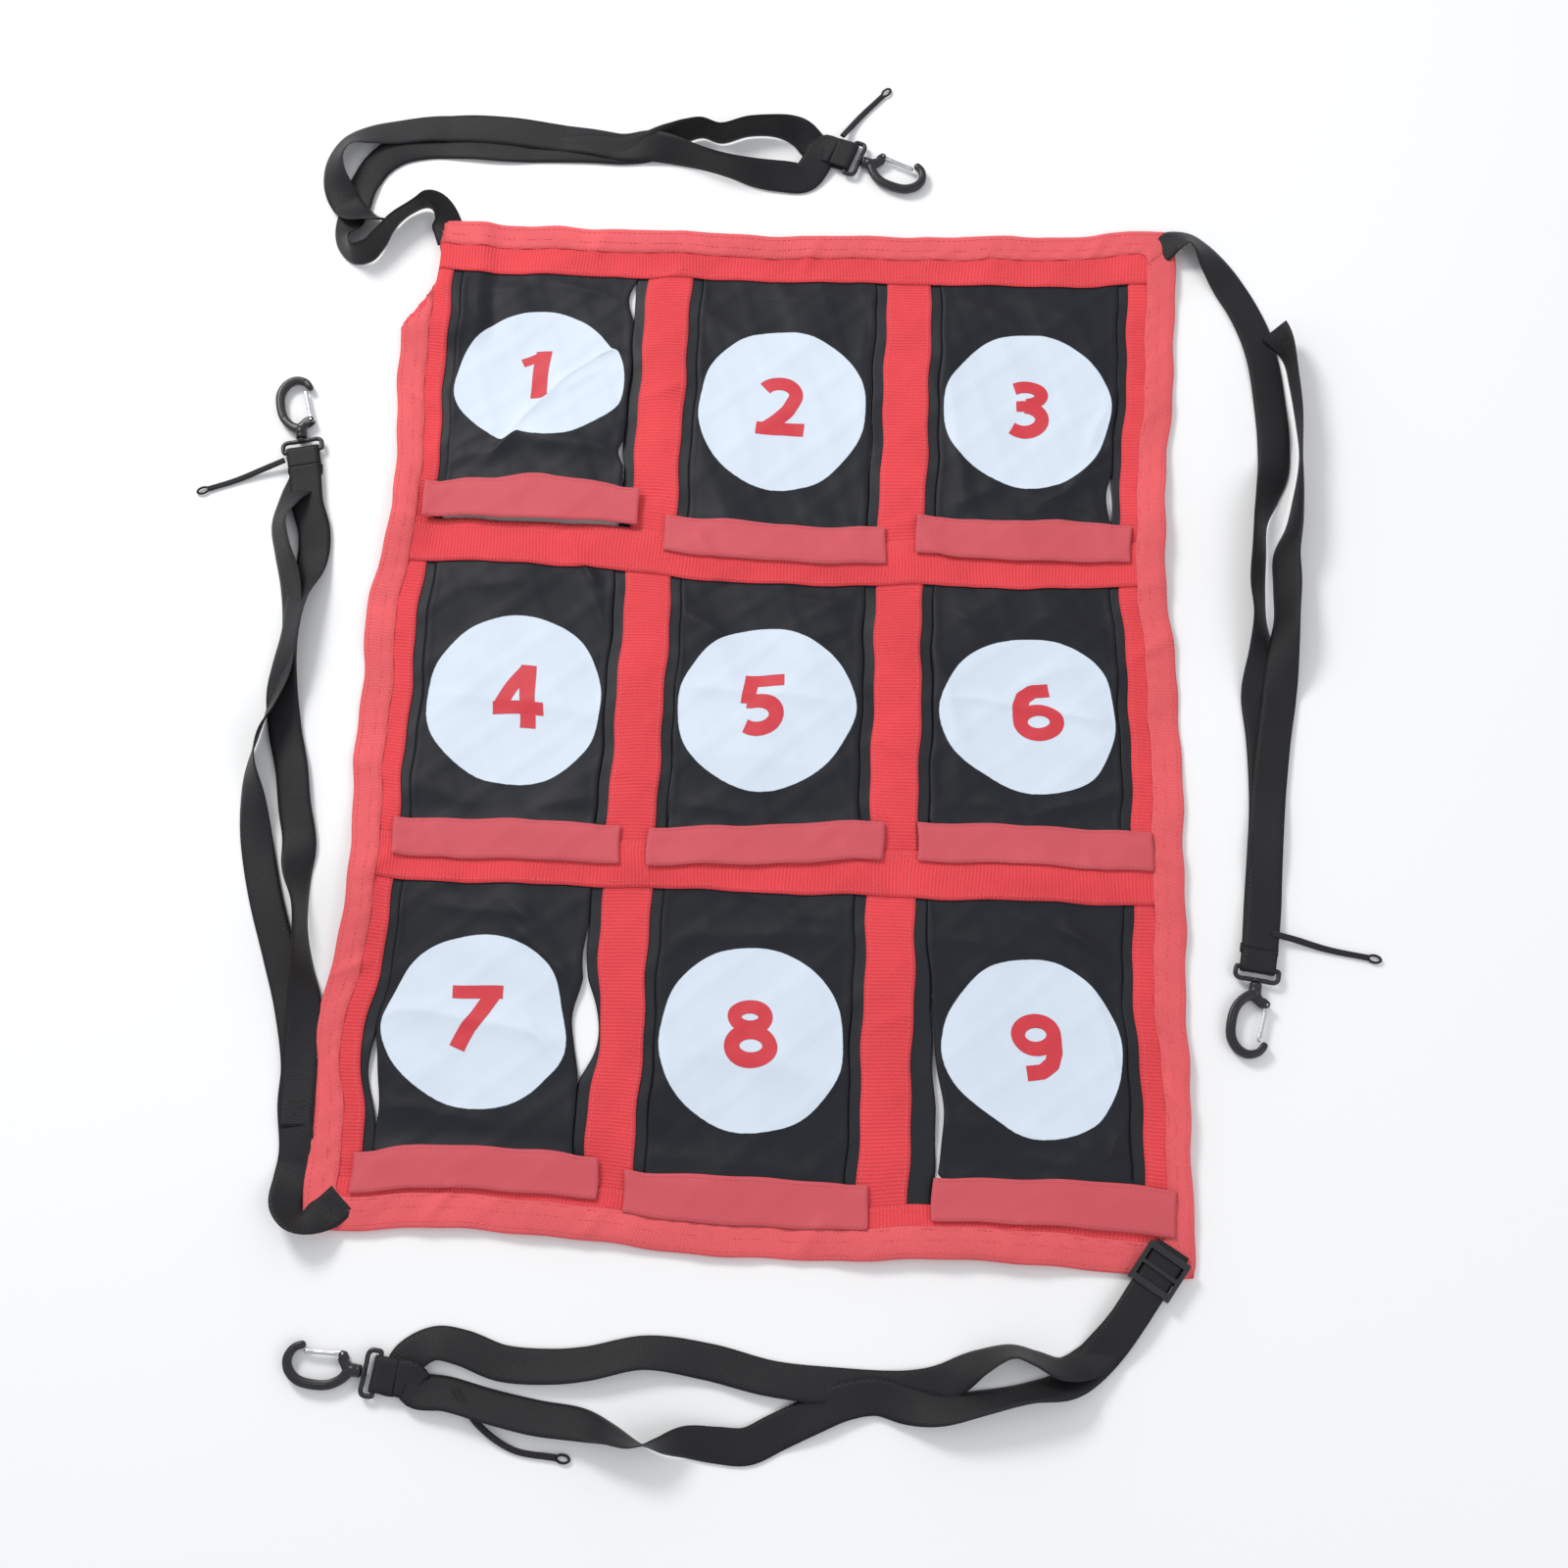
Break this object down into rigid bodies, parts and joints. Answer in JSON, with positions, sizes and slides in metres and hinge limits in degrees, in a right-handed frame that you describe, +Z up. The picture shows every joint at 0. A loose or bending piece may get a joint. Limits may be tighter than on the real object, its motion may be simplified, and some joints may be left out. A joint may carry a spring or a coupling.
{
  "type": "golf chipping target sheet",
  "caption": "Flat red cloth lattice of numbered, hinged black target flaps with hook-and-loop strips and doubled corner straps ending in swivel snap hooks.",
  "frame": {"origin": "centre of the sheet, on the floor under it", "axes": "+X to the right across the rows of panels, +Y up the columns towards panels 1-2-3, +Z up out of the sheet's face"},
  "size_m": [0.8925, 1.1012, 0.0276],
  "materials": {
    "red_webbing_mesh": "matte ribbed weave",
    "red_hem": "matte plain weave",
    "black_cloth": "fine weave, slight sheen",
    "hook_and_loop_red": "smooth",
    "black_webbing": "woven, slight sheen",
    "black_elastic": "matte",
    "black_plastic": "semi-gloss",
    "steel": "satin"
  },
  "bodies": {
    "sheet_and_straps": {"frame_band_left": "red_webbing_mesh", "frame_band_right": "red_webbing_mesh", "frame_band_top": "red_webbing_mesh", "frame_band_bottom": "red_webbing_mesh", "grid_bar_left": "red_webbing_mesh", "grid_bar_right": "red_webbing_mesh", "grid_bar_upper": "red_webbing_mesh", "grid_bar_lower": "red_webbing_mesh", "frame_hem": "red_hem", "facing_left": "black_cloth", "facing_middle_left": "black_cloth", "facing_middle_right": "black_cloth", "facing_right": "black_cloth", "strap_top_left_outgoing_run": "black_webbing", "strap_top_left_return_run": "black_webbing", "swivel_eye_top_left": "black_plastic", "elastic_keeper_top_left": "black_elastic", "strap_top_right_outgoing_run": "black_webbing", "strap_top_right_return_run": "black_webbing", "swivel_eye_top_right": "black_plastic", "elastic_keeper_top_right": "black_elastic", "strap_bottom_left_outgoing_run": "black_webbing", "strap_bottom_left_return_run": "black_webbing", "swivel_eye_bottom_left": "black_plastic", "elastic_keeper_bottom_left": "black_elastic", "strap_bottom_right_outgoing_run": "black_webbing", "strap_bottom_right_return_run": "black_webbing", "swivel_eye_bottom_right": "black_plastic", "elastic_keeper_bottom_right": "black_elastic"},
    "flap_1": {"flap_1_cloth": "black_cloth", "flap_1_strip": "hook_and_loop_red"},
    "flap_2": {"flap_2_cloth": "black_cloth", "flap_2_strip": "hook_and_loop_red"},
    "flap_3": {"flap_3_cloth": "black_cloth", "flap_3_strip": "hook_and_loop_red"},
    "flap_4": {"flap_4_cloth": "black_cloth", "flap_4_strip": "hook_and_loop_red"},
    "flap_5": {"flap_5_cloth": "black_cloth", "flap_5_strip": "hook_and_loop_red"},
    "flap_6": {"flap_6_cloth": "black_cloth", "flap_6_strip": "hook_and_loop_red"},
    "flap_7": {"flap_7_cloth": "black_cloth", "flap_7_strip": "hook_and_loop_red"},
    "flap_8": {"flap_8_cloth": "black_cloth", "flap_8_strip": "hook_and_loop_red"},
    "flap_9": {"flap_9_cloth": "black_cloth", "flap_9_strip": "hook_and_loop_red"},
    "hook_top_left": {"snap_hook_top_left": "black_plastic"},
    "gate_top_left": {"hook_gate_top_left": "steel"},
    "hook_top_right": {"snap_hook_top_right": "black_plastic"},
    "gate_top_right": {"hook_gate_top_right": "steel"},
    "hook_bottom_left": {"snap_hook_bottom_left": "black_plastic"},
    "gate_bottom_left": {"hook_gate_bottom_left": "steel"},
    "hook_bottom_right": {"snap_hook_bottom_right": "black_plastic"},
    "gate_bottom_right": {"hook_gate_bottom_right": "steel"},
    "slider_bottom_right": {"strap_slider_bottom_right": "black_plastic"}
  },
  "joints": [
    {"name": "flap_1_hinge", "type": "hinge", "parent": "sheet_and_straps", "child": "flap_1", "pos_m": [-0.194, 0.362, 0.0034], "axis": [-1, 0, 0], "range_deg": [0, 165]},
    {"name": "flap_2_hinge", "type": "hinge", "parent": "sheet_and_straps", "child": "flap_2", "pos_m": [0, 0.362, 0.0034], "axis": [-1, 0, 0], "range_deg": [0, 165]},
    {"name": "flap_3_hinge", "type": "hinge", "parent": "sheet_and_straps", "child": "flap_3", "pos_m": [0.194, 0.362, 0.0034], "axis": [-1, 0, 0], "range_deg": [0, 165]},
    {"name": "flap_4_hinge", "type": "hinge", "parent": "sheet_and_straps", "child": "flap_4", "pos_m": [-0.194, 0.105, 0.0034], "axis": [-1, 0, 0], "range_deg": [0, 165]},
    {"name": "flap_5_hinge", "type": "hinge", "parent": "sheet_and_straps", "child": "flap_5", "pos_m": [0, 0.105, 0.0034], "axis": [-1, 0, 0], "range_deg": [0, 165]},
    {"name": "flap_6_hinge", "type": "hinge", "parent": "sheet_and_straps", "child": "flap_6", "pos_m": [0.194, 0.105, 0.0034], "axis": [-1, 0, 0], "range_deg": [0, 165]},
    {"name": "flap_7_hinge", "type": "hinge", "parent": "sheet_and_straps", "child": "flap_7", "pos_m": [-0.194, -0.152, 0.0034], "axis": [-1, 0, 0], "range_deg": [0, 165]},
    {"name": "flap_8_hinge", "type": "hinge", "parent": "sheet_and_straps", "child": "flap_8", "pos_m": [0, -0.152, 0.0034], "axis": [-1, 0, 0], "range_deg": [0, 165]},
    {"name": "flap_9_hinge", "type": "hinge", "parent": "sheet_and_straps", "child": "flap_9", "pos_m": [0.194, -0.152, 0.0034], "axis": [-1, 0, 0], "range_deg": [0, 165]},
    {"name": "hook_top_left_swivel", "type": "hinge", "parent": "sheet_and_straps", "child": "hook_top_left", "pos_m": [0.045, 0.478, 0.0048], "axis": [0.9455, -0.3256, 0], "continuous": true},
    {"name": "gate_top_left_hinge", "type": "hinge", "parent": "hook_top_left", "child": "gate_top_left", "pos_m": [0.07211, 0.4784, 0.0048], "axis": [0, 0, -1], "range_deg": [0, 20], "stiffness_Nm_per_rad": 0.01, "springref_deg": -17.19},
    {"name": "hook_top_right_swivel", "type": "hinge", "parent": "sheet_and_straps", "child": "hook_top_right", "pos_m": [0.361, -0.196, 0.0048], "axis": [-0.1392, -0.9903, 0], "continuous": true},
    {"name": "gate_top_right_hinge", "type": "hinge", "parent": "hook_top_right", "child": "gate_top_right", "pos_m": [0.36656, -0.22253, 0.0048], "axis": [0, 0, -1], "range_deg": [0, 20], "stiffness_Nm_per_rad": 0.01, "springref_deg": -17.19},
    {"name": "hook_bottom_left_swivel", "type": "hinge", "parent": "sheet_and_straps", "child": "hook_bottom_left", "pos_m": [-0.378, 0.196, 0.0048], "axis": [-0.2079, 0.9781, 0], "continuous": true},
    {"name": "gate_bottom_left_hinge", "type": "hinge", "parent": "hook_bottom_left", "child": "gate_bottom_left", "pos_m": [-0.3743, 0.22286, 0.0048], "axis": [0, 0, 1], "range_deg": [0, 20], "stiffness_Nm_per_rad": 0.01, "springref_deg": -17.19},
    {"name": "hook_bottom_right_swivel", "type": "hinge", "parent": "sheet_and_straps", "child": "hook_bottom_right", "pos_m": [-0.245, -0.503, 0.0048], "axis": [-0.9925, 0.1219, 0], "continuous": true},
    {"name": "gate_bottom_right_hinge", "type": "hinge", "parent": "hook_bottom_right", "child": "gate_bottom_right", "pos_m": [-0.26919, -0.49076, 0.0048], "axis": [0, 0, 1], "range_deg": [0, 20], "stiffness_Nm_per_rad": 0.01, "springref_deg": -17.19},
    {"name": "slider_bottom_right_travel", "type": "slide", "parent": "sheet_and_straps", "child": "slider_bottom_right", "axis": [-0.5432, -0.8396, 0], "range_m": [0, 0.025]}
  ]
}
